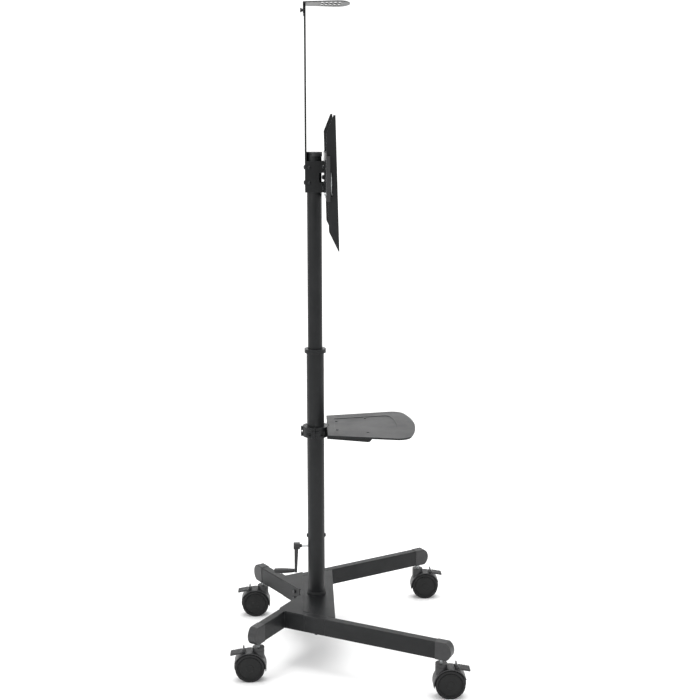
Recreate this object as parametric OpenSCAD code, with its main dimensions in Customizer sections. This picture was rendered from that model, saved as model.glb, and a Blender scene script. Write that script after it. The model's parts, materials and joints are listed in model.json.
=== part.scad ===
// Mobile screen cart with a hand-cranked telescopic column, a clamp-on shelf,
// hook-on screen arms and a camera tray.
// Millimetres. +X points forward, out of the screen; +Y is the cart's left; +Z is up.
// The origin lies on the floor under the column's axis.

/* [Column] */
// Outer diameter of the fixed lower tube
tube_d = 60; // [54:1:76]
// Wall of the lower tube
tube_wall = 2.5; // [2:0.5:3]
// Height of the lower tube's top edge above the floor
tube_top = 1081; // [950:1:1200]
// Outer diameter of the sliding upper tube
mast_d = 50; // [44:1:52]
// Wall of the upper tube
mast_wall = 2; // [1.5:0.5:3]
// Length of the upper tube
mast_length = 905; // [800:1:1000]
// Height of the upper tube's top edge above the floor, as photographed
mast_top = 1752; // [1660:1:1790]
// Diameter of the collar between the two tubes
collar_d = 74; // [70:1:90]
// Height of that collar
collar_h = 13.5; // [10:0.5:24]

/* [Base] */
// Height of the leg tubes
leg_h = 60; // [40:1:70]
// Width of the leg tubes
leg_w = 30; // [24:1:36]
// Wall of the leg tubes
leg_wall = 2; // [1.5:0.5:3]
// Height of the legs' top faces above the floor
leg_top = 195; // [185:1:215]
// Distance back from the column to each side's bend
bend_back = 118; // [100:1:130]
// Distance of the bend from the middle plane
bend_side = 144; // [130:1:160]
// Distance forward from the column to the front swivel axes
front_reach = 402; // [340:1:480]
// Distance of the front swivel axes from the middle plane
front_half_track = 420; // [380:1:460]
// Distance back from the column to the rear swivel axes
rear_reach = 200; // [185:1:230]
// Distance of the rear swivel axes from the middle plane
rear_half_track = 273; // [255:1:300]
// Thickness of the base's folded sheet
sheet = 3; // [2:0.5:4]

/* [Casters] */
// Wheel diameter
wheel_d = 100; // [90:1:104]
// Width over the two wheels of one caster
caster_w = 50; // [46:1:60]
// Distance of the wheel axis from the swivel axis
trail = 29; // [24:1:34]

/* [Shelf] */
// Height of the shelf's top face, as photographed
shelf_top = 814.5; // [700:0.5:900]
// Half the shelf's width at its rear edge
shelf_rear_half = 136; // [110:1:150]
// Angle by which each side edge flares out
shelf_flare = 11.8; // [4:0.1:16]
// Distance from the column's axis to the shelf's front edge
shelf_reach = 346; // [300:1:400]
// Outer diameter of the clamp ring
clamp_d = 90; // [84:1:110]
// Height of the clamp ring
clamp_h = 36; // [30:1:50]

/* [Screen head] */
// Height of the middle of the screen rail, as photographed
rail_mid = 1679.5; // [1600:0.5:1700]
// Height of the rail
rail_h = 143; // [120:1:170]
// Half the rail's length
rail_half = 240; // [220:1:300]
// Depth of the rail, web to lip
rail_depth = 12; // [10:1:18]
// Length of a screen arm
arm_len = 431; // [425:1:450]
// Width of a screen arm
arm_w = 36; // [32:1:44]
// Depth of a screen arm's side flanges
arm_depth = 31; // [28:1:34]
// Distance of each arm from the middle plane, as photographed
arm_side = 200; // [180:1:205]
// Backward lean of the arms
arm_lean = 1.5; // [0:0.1:2]

/* [Camera tray] */
// Height of the tray's underside above the floor
tray_under = 2231; // [2150:1:2300]
// Distance from the column's axis to the tray's tip
tray_reach = 120; // [110:1:140]
// Width of the upright strap
strap_w = 49; // [40:1:60]
// Thickness of the upright strap
strap_t = 6; // [4:0.5:8]

/* [Crank] */
// Height of the crank's axis
crank_z = 374; // [360:1:400]
// Distance from the crank's axis to its grip's axis
crank_arm_len = 93; // [80:1:120]
// Length of the grip
grip_len = 72; // [60:1:90]

/* [Hidden] */
$fn = 64;
// one overrun for every cut
over = 1;
// clearances: running shafts, pieces of different bodies, flat sliding faces
run_gap = 0.1;
air_gap = 0.3;
slide_gap = 0.5;
// sheet of the head's brackets
bracket_t = 3;

// hexagon, button-head and washer sizes of the fasteners
m8_r = 4;
m8_hole_r = 4.3;
m8_hex = 13;
m8_head = 5.5;
m8_button_r = 7.5;
m8_button_h = 4.4;
m8_nut = 6.5;
m12_r = 6;
m12_hex = 19;
m12_head = 7.5;
m12_washer_r = 14;
washer_t = 2;

// base: side members run from the bend forward and back
front_angle = atan2(front_half_track - bend_side, front_reach + bend_back);
front_run = norm([front_half_track - bend_side, front_reach + bend_back]);
rear_angle = atan2(rear_half_track - bend_side, bend_back - rear_reach);
rear_run = norm([rear_half_track - bend_side, bend_back - rear_reach]);
leg_z = leg_top - leg_h;
// socket: the stretch of side member that belongs to the centre frame
socket_start = 90;
socket_len = 78.5;
socket_end = socket_start + socket_len;
seam = 0.4;
// tube corners
leg_corner = 3;
// end caps and caster stems
cap_back = 17;
cap_flat = 20;
cap_bulge = 19;
cap_lip = 1.2;
stem_r = 5;
stem_nut_r = 9.5;
stem_nut_h = 6;
stem_base = 101;
stem_top = 164;
// centre plate and rear gusset
plate_front = 61;
plate_rear = -49;
gusset_rear = -130;
notch_x = -60;
slit_len = 26;
slit_w = 2.4;
rib_y = 40;
vee_bolt_in = 36;
vee_bolt_low = 18;
vee_bolt_high = 44;
relief_r = 4;
// spigots inside the sockets
spigot_len = 200;
spigot_gap = 0.1;
spigot_wall = 3;
plug_len = 14;

// column foot and bolt
foot_ring_d = 65;
foot_ring_h = 12;
foot_disc = 6;
foot_plug_h = 70;
foot_plug_bore = 20;
// collar, bush and slide ring
bush_len = 60;
ring_len = 30;
ring_up = 6;
mast_cap_h = 14;
mast_cap_over = 1.8;
mast_cap_top = 3.5;
mast_cap_rear = 8;
mast_cap_plug = 20;

// lifting gear
screw_r = 8;
screw_top = 960;
screw_collar_r = 12;
screw_collar_h = 6;
gear_r = 15;
gear_face = 8;
gear_teeth = 16;
tooth_cut_share = 0.42;
tooth_depth_share = 0.12;
housing_low = 24;
housing_high = 58;
cavity_r = 18;
shaft_r = 4;
bearing_h = 4;
bearing_r = 15;
nut_len = 40;
gear_bolt_up = 39;

// crank
hub_r = 12.5;
hub_out = 81;
hub_in = 58;
nub_in = 51;
nub_r = 6;
arm_thick_top = 15;
arm_thick_low = 9.5;
arm_wide_top = 20;
arm_wide_low = 15;
arm_rear = 78;
grip_r = 9.6;
grip_neck_r = 6.5;
grip_pin_r = 3;
grip_pin_head_r = 5.5;
grip_pin_head = 4;

// head
saddle_low = 57;
saddle_up = 46;
window_low = 24;
window_up = 8;
window_x = 16;
cheek_end = 36;
tab_w = 22;
tab_bolt = 13;
strap_bolt_up = 25.5;
strap_bolt_low = 25.5;
set_screw_x = -17;
strap_foot = 47;
strap_slot = 60;
lock_drop = 51.5;
lock_r = 3;
lock_head_r = 5;
lock_slot_in = 60;
lock_slot_out = 9;
lock_tail = 7;
lock_bridge = 22;
arm_relief = 7;
relief_low = 57;
relief_up = 19;
rail_slot_in = 96;
rail_slot_out = 180;
rail_slot_h = 26;
arm_t = 2.5;
arm_tip_taper = 58;
arm_foot_taper = 63;
arm_tip_depth = 6;
arm_pivot_up = 0.5;
arm_front = 70.9;
arm_above = 198;
screen_drop = 18;
screen_pitch = 50;
screen_slot = 22;
screen_slot_w = 8.4;
screen_hole_r = 4.2;

// camera tray
tray_t = 3;
tray_rear_half = 78;
tray_flare = 21.4;
tray_front_r = 300;
tray_corner_r = 28;
tray_flange_h = 36;
tray_slot_first = 29;
tray_slot_pitch = 14;
tray_slot_len = 64;
tray_slot_w = 8;
tray_slot_row = 50;
knob_r = 7.5;
knob_len = 9;
knob_drop = 19;

// shelf
shelf_rear = 40;
shelf_sheet = 2.5;
shelf_lip = 6;
shelf_front_r = 480;
shelf_corner_r = 45;
shelf_dish = 1.2;
dish_rear = 66;
dish_rear_half = 88;
dish_reach = 282;
dish_corner_r = 22;
dish_front_r = 420;
shelf_notch_gap = 1.5;
clamp_split = 3;
clamp_flat_half = 16;
clamp_flat_r = 49;
clamp_flat_h = 25;
clamp_bolt_y = 38.5;
clamp_bolt_r = 3.5;
clamp_head_r = 6;
clamp_head_h = 6;
lug_out = 51.5;
lug_w = 12;
lug_h = 34;
lug_slot_h = 8;
root_x = 44;
root_half = 50;
root_t = 5;
prop_end_x = 190;
prop_end_y = 100;
prop_t = 6;
prop_round = 14;
prop_pad_r = 9;
prop_screw_rear = 36;
tray_screw_r = 2.5;
tray_screw_head_r = 5;
tray_screw_head = 1.8;

// casters
hood_gap = 2.5;
hood_wall = 3;
hood_inner_w = 10;
hood_boss_r = 20;
hood_boss_top = 119;
boss_groove = 1.5;
boss_groove_z = 108;
hood_tail_angle = 20;
hood_drop = 9;
wheel_tyre = 9;
wheel_dish = 2;
hubcap_r = 40;
axle_r = 5;
pedal_len = 45;
pedal_w = 34;
pedal_t = 5;
pedal_out = 21;
pedal_z = 105;
pedal_knuckle_r = 5;
pedal_knuckle_half = 10;
pedal_ear = 4;
pedal_pin_r = 2.8;
pedal_rib = 1.5;
pedal_ribs = 6;
fin_h = 13;
pedal_tilt = 11;
fin_t = 4;

// ---------- shared forms ----------

module pair() {
  children();
  mirror([0, 1, 0]) children();
}

// rectangle with round corners, centred
module soft_rect(w, h, r) {
  square([w - 2 * r, h], center = true);
  square([w, h - 2 * r], center = true);
  for (x = [-1, 1], y = [-1, 1])
    translate([x * (w / 2 - r), y * (h / 2 - r)]) circle(r);
}

// bar of rectangular section along +X, its section centred on the axis
module bar(len, w, h, r) {
  rotate([90, 0, 90]) linear_extrude(len) soft_rect(w, h, r);
}

module box_tube(len, w, h, wall, r) {
  difference() {
    bar(len, w, h, r);
    translate([-over, 0, 0])
      bar(len + 2 * over, w - 2 * wall, h - 2 * wall, max(r - wall, wall / 2));
  }
}

// frames of the side member: x runs along the leg from the bend
module along_front() {
  translate([-bend_back, bend_side, 0]) rotate(front_angle) children();
}

module along_rear() {
  translate([-bend_back, bend_side, 0]) rotate(rear_angle) children();
}

// hexagonal head or nut, standing on z = 0
module hex(across, h) {
  cylinder(d = across / cos(30), h = h, $fn = 6);
}

module slot2d(len, w) {
  square([len - w, w], center = true);
  for (s = [-1, 1]) translate([s * (len - w) / 2, 0]) circle(d = w);
}

// points of an arc
function arc_points(c, r, a0, a1, n) =
  [for (i = [0:n]) let (a = a0 + (a1 - a0) * i / n) c + r * [cos(a), sin(a)]];

// half outline of a tray: a flaring side, a round corner and a shallow front arc
function tray_half(rear, half, flare, tip, r_front, r_corner) =
  let (d = [cos(flare), sin(flare)], n = [-sin(flare), cos(flare)])
  let (mid = [tip - r_front, 0], p = [rear, half] - r_corner * n - mid)
  let (reach = r_front - r_corner, b = p * d)
  let (t = -b + sqrt(b * b - p * p + reach * reach))
  let (c = mid + p + t * d, turn = atan2(c.y - mid.y, c.x - mid.x))
  concat([[rear, half]],
    arc_points(c, r_corner, 90 + flare, turn, 8),
    [for (i = [1:8]) mid + r_front * [cos(turn * (1 - i / 8)), sin(turn * (1 - i / 8))]]);

module tray_shape(rear, half, flare, tip, r_front, r_corner) {
  side = tray_half(rear, half, flare, tip, r_front, r_corner);
  last = len(side) - 1;
  polygon(concat(side, [for (i = [1:last]) [side[last - i].x, -side[last - i].y]]));
}

// ---------- base ----------

// y of the side member's outer (+1) or inner (-1) face line at a given x, front run
function front_face_y(x, s) =
  bend_side + (x + bend_back) * tan(front_angle) + s * leg_w / 2 / cos(front_angle);

// the same for the rear run
function rear_face_y(x, s) =
  bend_side + (x + bend_back) * tan(rear_angle) - s * leg_w / 2 / cos(rear_angle);

// point beside the side member's centre line, at a run forward from the bend
function beside_front(run, off) =
  [-bend_back + run * cos(front_angle) - off * sin(front_angle),
   bend_side + run * sin(front_angle) + off * cos(front_angle)];

// point behind the notch's slanting side, at a run from its inner corner
function behind_vee(run, depth) =
  [notch_x + run * cos(rear_angle) + depth * sin(rear_angle),
   notch_half + run * sin(rear_angle) - depth * cos(rear_angle)];

// where a line at that depth crosses the notch's flat back
function vee_corner(depth) =
  behind_vee(depth * (1 - sin(rear_angle)) / cos(rear_angle), depth);

// where the outer faces of the two runs meet
bend_outer_x = -bend_back + (leg_w / 2 / cos(front_angle) + leg_w / 2 / cos(rear_angle))
  / (tan(rear_angle) - tan(front_angle));
bend_inner_x = -bend_back - (bend_outer_x + bend_back);
notch_half = rear_face_y(notch_x, -1);
vee_len = norm([bend_inner_x - notch_x,
  rear_face_y(bend_inner_x, -1) - notch_half]) - seam;

// strip of folded metal round the notch, between two depths behind its face
module vee_strip(d0, d1, len) {
  pair() polygon([[notch_x + d0, 0], vee_corner(d0), behind_vee(len, d0),
    behind_vee(len, d1), vee_corner(d1), [notch_x + d1, 0]]);
}

module base_frame() color("dimgray") {
  edge = -leg_w / 2 - seam;
  weld = -leg_w / 2 + leg_wall / 2;
  lip_x = plate_front - sheet;
  difference() {
    union() {
      // top plate between the side members, back to the folded notch
      translate([0, 0, leg_top - sheet]) linear_extrude(sheet) difference() {
        pair() polygon([
          [notch_x + sheet, 0],
          vee_corner(sheet),
          behind_vee(vee_len - 2 * sheet, sheet),
          beside_front(leg_w, edge),
          beside_front(socket_start + over, edge),
          beside_front(socket_start + over, weld),
          beside_front(socket_end - over, weld),
          beside_front(socket_end - over, edge),
          [plate_front, front_face_y(plate_front, -1) - seam / cos(front_angle)],
          [plate_front, 0]]);
        pair() translate([plate_rear, front_face_y(plate_rear, -1), 0])
          rotate(front_angle) translate([0, -slit_w / 2]) square([slit_len, slit_w]);
      }
      // folded front lip
      translate([lip_x, -front_face_y(lip_x, -1) + sheet, leg_z + leg_h / 2])
        cube([sheet, 2 * (front_face_y(lip_x, -1) - sheet), leg_h / 2]);
      // rear wall and flanges behind the gusset's notch flanges
      translate([0, 0, leg_z]) linear_extrude(leg_h)
        vee_strip(sheet + run_gap, 2 * sheet, vee_len - 2 * sheet);
      // side sockets
      pair() along_front() translate([socket_start, 0, leg_z + leg_h / 2])
        box_tube(socket_len, leg_w, leg_h, leg_wall, leg_corner);
      // stiffening channel under the column
      for (y = [-1, 1]) translate([notch_x + sheet + over, y * rib_y - sheet / 2,
        leg_z + leg_h / 2])
        cube([plate_front - notch_x - 2 * sheet, sheet, leg_h / 2 - sheet / 2]);
    }
    // holes for the column bolt, the socket bolts and the notch bolts
    translate([0, 0, leg_top - sheet - over])
      cylinder(r = m12_r + air_gap, h = sheet + 2 * over);
    pair() along_front() translate([socket_start + socket_len / 2, 0, leg_z - over])
      cylinder(r = m8_hole_r, h = sheet + 2 * over);
    vee_bolt_holes();
  }
}

// axes of the notch bolts: x runs into the metal from the notch's side
module at_vee_bolts() {
  pair() translate([notch_x, notch_half, leg_z]) rotate(rear_angle)
    for (z = [vee_bolt_low, vee_bolt_high])
      translate([vee_bolt_in, 0, z]) rotate([90, 0, 0]) children();
}

module vee_bolt_holes() {
  at_vee_bolts() translate([0, 0, -over])
    cylinder(r = m8_hole_r, h = 2 * sheet + 2 * over);
}

module rear_gusset() color("gray") {
  difference() {
    union() {
      // plate lying on both rear legs
      translate([0, 0, leg_top]) linear_extrude(sheet) pair() polygon([
        [notch_x, 0],
        [notch_x, notch_half],
        [gusset_rear, rear_face_y(gusset_rear, -1)],
        [gusset_rear, rear_face_y(gusset_rear, 1)],
        [bend_outer_x, front_face_y(bend_outer_x, 1)],
        [plate_rear, front_face_y(plate_rear, 1)],
        [plate_rear, 0]]);
      // folded flanges round the notch
      translate([0, 0, leg_z]) linear_extrude(leg_h)
        vee_strip(run_gap, sheet, vee_len);
    }
    // open corners between the folds
    pair() translate([notch_x, notch_half, leg_z - over])
      cylinder(r = relief_r, h = leg_h + sheet + 2 * over);
    vee_bolt_holes();
  }
}

module leg_spigots() color("silver") {
  pair() along_front()
    translate([socket_start + socket_len / 2 - spigot_len / 2, 0, leg_z + leg_h / 2])
      difference() {
        box_tube(spigot_len, leg_w - 2 * leg_wall - 2 * spigot_gap,
          leg_h - 2 * leg_wall - 2 * spigot_gap, spigot_wall, leg_corner);
        translate([spigot_len / 2, 0, -leg_h / 2])
          cylinder(r = m8_hole_r, h = leg_h / 2);
      }
}

module front_leg() {
  along_front() translate([socket_end + seam, 0, leg_z + leg_h / 2])
    box_tube(front_run - cap_back - socket_end - seam, leg_w, leg_h,
      leg_wall, leg_corner);
}

module front_leg_left() color("dimgray") front_leg();
module front_leg_right() color("dimgray") mirror([0, 1, 0]) front_leg();

// rear leg: a short front stretch and the rear run, mitred at the bend
module rear_leg() {
  mitre = (front_angle + rear_angle) / 2;
  reach = rear_run + leg_w;
  intersection() {
    along_front() translate([-leg_w, 0, leg_z + leg_h / 2])
      box_tube(socket_start - seam + leg_w, leg_w, leg_h, leg_wall, leg_corner);
    translate([-bend_back, bend_side, leg_z - over]) rotate(mitre)
      translate([-reach, -2 * reach, 0]) cube([2 * reach, 2 * reach, leg_h + 2 * over]);
  }
  intersection() {
    along_rear() translate([-leg_w, 0, leg_z + leg_h / 2])
      box_tube(rear_run - cap_back + leg_w, leg_w, leg_h, leg_wall, leg_corner);
    translate([-bend_back, bend_side, leg_z - over]) rotate(mitre)
      translate([-reach, 0, 0]) cube([2 * reach, 2 * reach, leg_h + 2 * over]);
  }
}

module rear_leg_left() color("dimgray") rear_leg();
module rear_leg_right() color("dimgray") mirror([0, 1, 0]) rear_leg();

// moulded end cap: a sleeve round the tube's end, a stem socket and a bulged end
module leg_cap() {
  w = leg_w + 2 * cap_lip;
  h = leg_h + 2 * cap_lip;
  bulge_r = (h * h / 4 + cap_bulge * cap_bulge) / (2 * cap_bulge);
  difference() {
    intersection() {
      translate([-cap_back, 0, 0])
        bar(cap_back + cap_flat + cap_bulge, w, h, leg_corner);
      union() {
        translate([-cap_back, -w, -h]) cube([cap_back + cap_flat, 2 * w, 2 * h]);
        translate([cap_flat + cap_bulge - bulge_r, w, 0]) rotate([90, 0, 0])
          cylinder(r = bulge_r, h = 2 * w);
      }
    }
    translate([0, 0, -h]) cylinder(r = stem_r, h = h);
  }
  // plug inside the tube's end
  translate([-cap_back - plug_len, 0, 0]) box_tube(plug_len + over,
    leg_w - 2 * leg_wall, leg_h - 2 * leg_wall, leg_wall, leg_corner - leg_wall);
}

module leg_caps() color("black") pair() {
  along_front() translate([front_run, 0, leg_z + leg_h / 2]) leg_cap();
  along_rear() translate([rear_run, 0, leg_z + leg_h / 2]) leg_cap();
}

// screws under the sockets and through the notch flanges, each with its nut
module base_bolts() color("silver") {
  pair() along_front() translate([socket_start + socket_len / 2, 0, leg_z]) {
    translate([0, 0, -m8_head]) hex(m8_hex, m8_head);
    cylinder(r = m8_r, h = leg_wall + sheet + spigot_wall + m8_nut);
    translate([0, 0, leg_wall + spigot_gap + spigot_wall]) hex(m8_hex, m8_nut);
  }
  at_vee_bolts() {
    translate([0, 0, -m8_button_h]) cylinder(r1 = m8_button_r - over, r2 = m8_button_r,
      h = m8_button_h);
    cylinder(r = m8_r, h = 2 * sheet + m8_nut);
    translate([0, 0, 2 * sheet]) hex(m8_hex, m8_nut);
  }
}

module at_casters() {
  for (s = [-1, 1]) {
    translate([front_reach, s * front_half_track, 0]) children();
    translate([-rear_reach, s * rear_half_track, 0]) children();
  }
}

module caster_stems() color("silver") at_casters() {
  cap_low = leg_z - cap_lip;
  translate([0, 0, stem_base]) cylinder(r = stem_r, h = stem_top - stem_base);
  translate([0, 0, cap_low - stem_nut_h]) hex(2 * stem_nut_r * cos(30), stem_nut_h);
}

// ---------- column ----------

module column_foot() color("gray") {
  bore = tube_d - 2 * tube_wall;
  difference() {
    union() {
      translate([0, 0, leg_top]) cylinder(d = foot_ring_d, h = foot_disc);
      translate([0, 0, leg_top + foot_disc]) difference() {
        cylinder(d1 = foot_ring_d, d2 = tube_d + over, h = foot_ring_h - foot_disc);
        cylinder(d = tube_d, h = foot_ring_h);
      }
      translate([0, 0, leg_top]) cylinder(d = bore, h = foot_plug_h);
    }
    translate([0, 0, leg_top - over]) cylinder(r = m12_r, h = foot_plug_h / 2);
    translate([0, 0, leg_top + foot_plug_h / 2])
      cylinder(d = foot_plug_bore, h = foot_plug_h);
  }
}

module column_bolt() color("silver") {
  translate([0, 0, leg_top - sheet - washer_t]) {
    cylinder(r = m12_washer_r, h = washer_t);
    translate([0, 0, -m12_head]) hex(m12_hex, m12_head);
    cylinder(r = m12_r, h = washer_t + sheet + foot_plug_h / 3);
  }
}

gear_bolt_z = crank_z + gear_bolt_up;

module column_tube() color("dimgray") {
  z0 = leg_top + foot_disc;
  difference() {
    translate([0, 0, z0]) cylinder(d = tube_d, h = tube_top - z0);
    translate([0, 0, z0 - over]) cylinder(d = tube_d - 2 * tube_wall, h = tube_top);
    translate([-tube_d, 0, crank_z]) rotate([0, 90, 0])
      cylinder(r = shaft_r + slide_gap, h = tube_d);
    translate([-tube_d, 0, gear_bolt_z]) rotate([0, 90, 0])
      cylinder(r = m8_hole_r, h = 2 * tube_d);
  }
}

module collar() color("dimgray") {
  low = tube_top - collar_h / 2;
  difference() {
    translate([0, 0, low]) cylinder(d = collar_d, h = collar_h);
    translate([0, 0, low - over]) cylinder(d = tube_d, h = collar_h / 2 + over);
    translate([0, 0, low]) cylinder(d = mast_d + 2 * slide_gap, h = collar_h + over);
  }
}

module guide_bush() color("white") {
  difference() {
    translate([0, 0, tube_top - bush_len])
      cylinder(d = tube_d - 2 * tube_wall, h = bush_len);
    translate([0, 0, tube_top - bush_len - over])
      cylinder(d = mast_d + 2 * run_gap, h = bush_len + 2 * over);
  }
}

// ---------- lifting gear inside the lower tube ----------

housing_top = crank_z + housing_high;

module gear_housing() color("gray") {
  difference() {
    translate([0, 0, crank_z - housing_low])
      cylinder(d = tube_d - 2 * tube_wall, h = housing_low + housing_high);
    // gear space
    translate([0, 0, crank_z - cavity_r])
      cylinder(r = cavity_r, h = cavity_r + gear_r + over);
    translate([-cavity_r - over, 0, crank_z]) rotate([0, 90, 0])
      cylinder(r = cavity_r, h = cavity_r + over);
    // screw and shaft bearings
    translate([0, 0, crank_z]) cylinder(r = screw_r + run_gap, h = housing_high + over);
    translate([-tube_d, 0, crank_z]) rotate([0, 90, 0])
      cylinder(r = shaft_r + run_gap, h = tube_d);
    // threads of the two gear bolts
    for (s = [-1, 1]) translate([s * tube_d / 2, 0, gear_bolt_z])
      rotate([0, -s * 90, 0]) cylinder(r = m8_r, h = tube_d / 2 - screw_r - sheet);
  }
}

module gear_bolts() color("black") {
  for (s = [-1, 1]) translate([s * tube_d / 2, 0, gear_bolt_z]) rotate([0, -s * 90, 0]) {
    cylinder(r = m8_r, h = tube_d / 2 - screw_r - sheet);
    translate([0, 0, -m8_button_h])
      cylinder(r1 = m8_button_r - over, r2 = m8_button_r, h = m8_button_h);
  }
}

module thrust_washer() color("gold") {
  translate([0, 0, housing_top]) difference() {
    cylinder(r = bearing_r, h = bearing_h);
    translate([0, 0, -over]) cylinder(r = screw_r + run_gap, h = bearing_h + 2 * over);
  }
}

module lead_screw() color("silver") {
  low = crank_z + gear_r;
  translate([0, 0, low]) cylinder(r = screw_r, h = screw_top - low);
  translate([0, 0, housing_top + bearing_h + run_gap])
    cylinder(r = screw_collar_r, h = screw_collar_h);
}

// bevel gear with its apex at the origin, opening along +Z
module bevel_gear(bore) {
  root = gear_r - gear_face;
  pitch_gap = run_gap;
  difference() {
    translate([0, 0, root]) cylinder(r1 = root - pitch_gap, r2 = gear_r - pitch_gap,
      h = gear_face);
    for (i = [0:gear_teeth - 1]) rotate(i * 360 / gear_teeth)
      rotate([0, 45, 0]) translate([-gear_r * tooth_depth_share, 0, 0])
        translate([0, -gear_r * PI / gear_teeth * tooth_cut_share, 0])
          cube([gear_r, 2 * gear_r * PI / gear_teeth * tooth_cut_share, 2 * gear_r]);
    if (bore > 0) cylinder(r = bore, h = 2 * gear_r);
  }
}

module screw_gear() color("gold") {
  translate([0, 0, crank_z]) bevel_gear(0);
}

module crank_gear() color("gold") {
  translate([0, 0, crank_z]) rotate([0, -90, 0]) rotate(180 / gear_teeth) bevel_gear(0);
}

module crank_shaft() color("silver") {
  translate([-hub_out, 0, crank_z]) rotate([0, 90, 0])
    cylinder(r = shaft_r, h = hub_out - gear_r);
}

// ---------- crank ----------

grip_z = crank_z - crank_arm_len;

module crank_arm() color("black") {
  difference() {
    union() {
      translate([-hub_out, 0, crank_z]) rotate([0, 90, 0])
        cylinder(r = hub_r, h = hub_out - hub_in);
      translate([-hub_in, 0, crank_z]) rotate([0, 90, 0])
        cylinder(r1 = nub_r + over, r2 = nub_r, h = hub_in - nub_in);
      intersection() {
        // side profile, tapering down to the grip's eye
        translate([0, arm_wide_top, 0]) rotate([90, 0, 0]) linear_extrude(2 * arm_wide_top)
          polygon([[-arm_rear, crank_z], [-arm_rear, grip_z - arm_wide_low / 2],
            [-arm_rear + arm_thick_low, grip_z - arm_wide_low / 2],
            [-arm_rear + arm_thick_low, grip_z],
            [-arm_rear + arm_thick_top, crank_z]]);
        // front profile
        rotate([90, 0, 90]) translate([0, 0, -hub_out]) linear_extrude(hub_out)
          union() {
            polygon([[-arm_wide_top / 2, crank_z], [-arm_wide_low / 2, grip_z],
              [arm_wide_low / 2, grip_z], [arm_wide_top / 2, crank_z]]);
            translate([0, grip_z]) circle(d = arm_wide_low);
          }
      }
    }
    translate([-hub_out - over, 0, crank_z]) rotate([0, 90, 0])
      cylinder(r = shaft_r, h = hub_out);
    translate([-arm_rear - over, 0, grip_z]) rotate([0, 90, 0])
      cylinder(r = grip_pin_r, h = arm_rear);
  }
}

grip_face = arm_rear + air_gap;

module grip_pin() color("silver") {
  translate([-grip_face - grip_len, 0, grip_z]) rotate([0, 90, 0]) {
    cylinder(r = grip_pin_r, h = grip_len + arm_thick_low + air_gap);
    cylinder(r = grip_pin_head_r, h = grip_pin_head);
  }
}

// barrel grip turning on its pin
module crank_grip() color("black") {
  translate([-grip_face, 0, grip_z]) rotate([0, -90, 0]) rotate_extrude() polygon([
    [grip_pin_r + run_gap, 0],
    [grip_neck_r, 0],
    [grip_neck_r + over, grip_len * 0.12],
    [grip_r - over / 2, grip_len * 0.45],
    [grip_r, grip_len * 0.65],
    [grip_r - over / 2, grip_len * 0.95],
    [grip_r - 2 * over, grip_len],
    [grip_pin_head_r + air_gap, grip_len],
    [grip_pin_head_r + air_gap, grip_len - grip_pin_head - air_gap],
    [grip_pin_r + run_gap, grip_len - grip_pin_head - air_gap]]);
}

// ---------- upper tube ----------

mast_low = mast_top - mast_length;

module mast_tube() color("dimgray") {
  difference() {
    translate([0, 0, mast_low]) cylinder(d = mast_d, h = mast_length);
    translate([0, 0, mast_low - over])
      cylinder(d = mast_d - 2 * mast_wall, h = mast_length + 2 * over);
    // rivet nuts for the head's screws
    for (z = strap_bolt_heights) translate([-mast_d, 0, z]) rotate([0, 90, 0])
      cylinder(r = m8_r, h = mast_d);
  }
}

module mast_cap() color("black") {
  inner = mast_d - 2 * mast_wall;
  difference() {
    translate([0, 0, mast_top - mast_cap_h + mast_cap_top])
      cylinder(d = mast_d + 2 * mast_cap_over, h = mast_cap_h);
    translate([0, 0, mast_top - mast_cap_h]) cylinder(d = mast_d, h = mast_cap_h);
    // the rim is open at the back, where the strap lies on the tube
    translate([-2 * mast_d, -mast_d, mast_top - mast_cap_h])
      cube([2 * mast_d - mast_cap_rear, 2 * mast_d, mast_cap_h + over / 2]);
    translate([-2 * mast_d, -mast_d, mast_top - mast_cap_h])
      cube([2 * mast_d - mast_d / 2, 2 * mast_d, 2 * mast_cap_h]);
  }
  translate([0, 0, mast_top - mast_cap_plug]) difference() {
    cylinder(d = inner, h = mast_cap_plug);
    translate([0, 0, -over]) cylinder(d = inner - 2 * bracket_t, h = mast_cap_plug);
  }
}

module lift_nut() color("gold") {
  difference() {
    union() {
      translate([0, 0, mast_low]) cylinder(d = mast_d - 2 * mast_wall, h = nut_len);
      translate([0, 0, mast_low - bracket_t]) cylinder(d = mast_d, h = bracket_t);
    }
    translate([0, 0, mast_low - bracket_t - over])
      cylinder(r = screw_r + run_gap, h = nut_len + bracket_t + 2 * over);
  }
}

module slide_ring() color("white") {
  translate([0, 0, mast_low + ring_up]) difference() {
    cylinder(d = tube_d - 2 * tube_wall - 2 * run_gap, h = ring_len);
    translate([0, 0, -over]) cylinder(d = mast_d, h = ring_len + 2 * over);
  }
}

// ---------- head ----------

strap_bolt_heights = [rail_mid + strap_bolt_up, rail_mid - strap_bolt_low];
saddle_out = mast_d / 2 + bracket_t;
strap_rear = mast_d / 2 + run_gap + strap_t;
rail_x = cheek_end;
rail_low = rail_mid - rail_h / 2;
rail_high = rail_mid + rail_h / 2;
saddle_z = rail_mid - saddle_low;
saddle_h = saddle_low + saddle_up;

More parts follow.
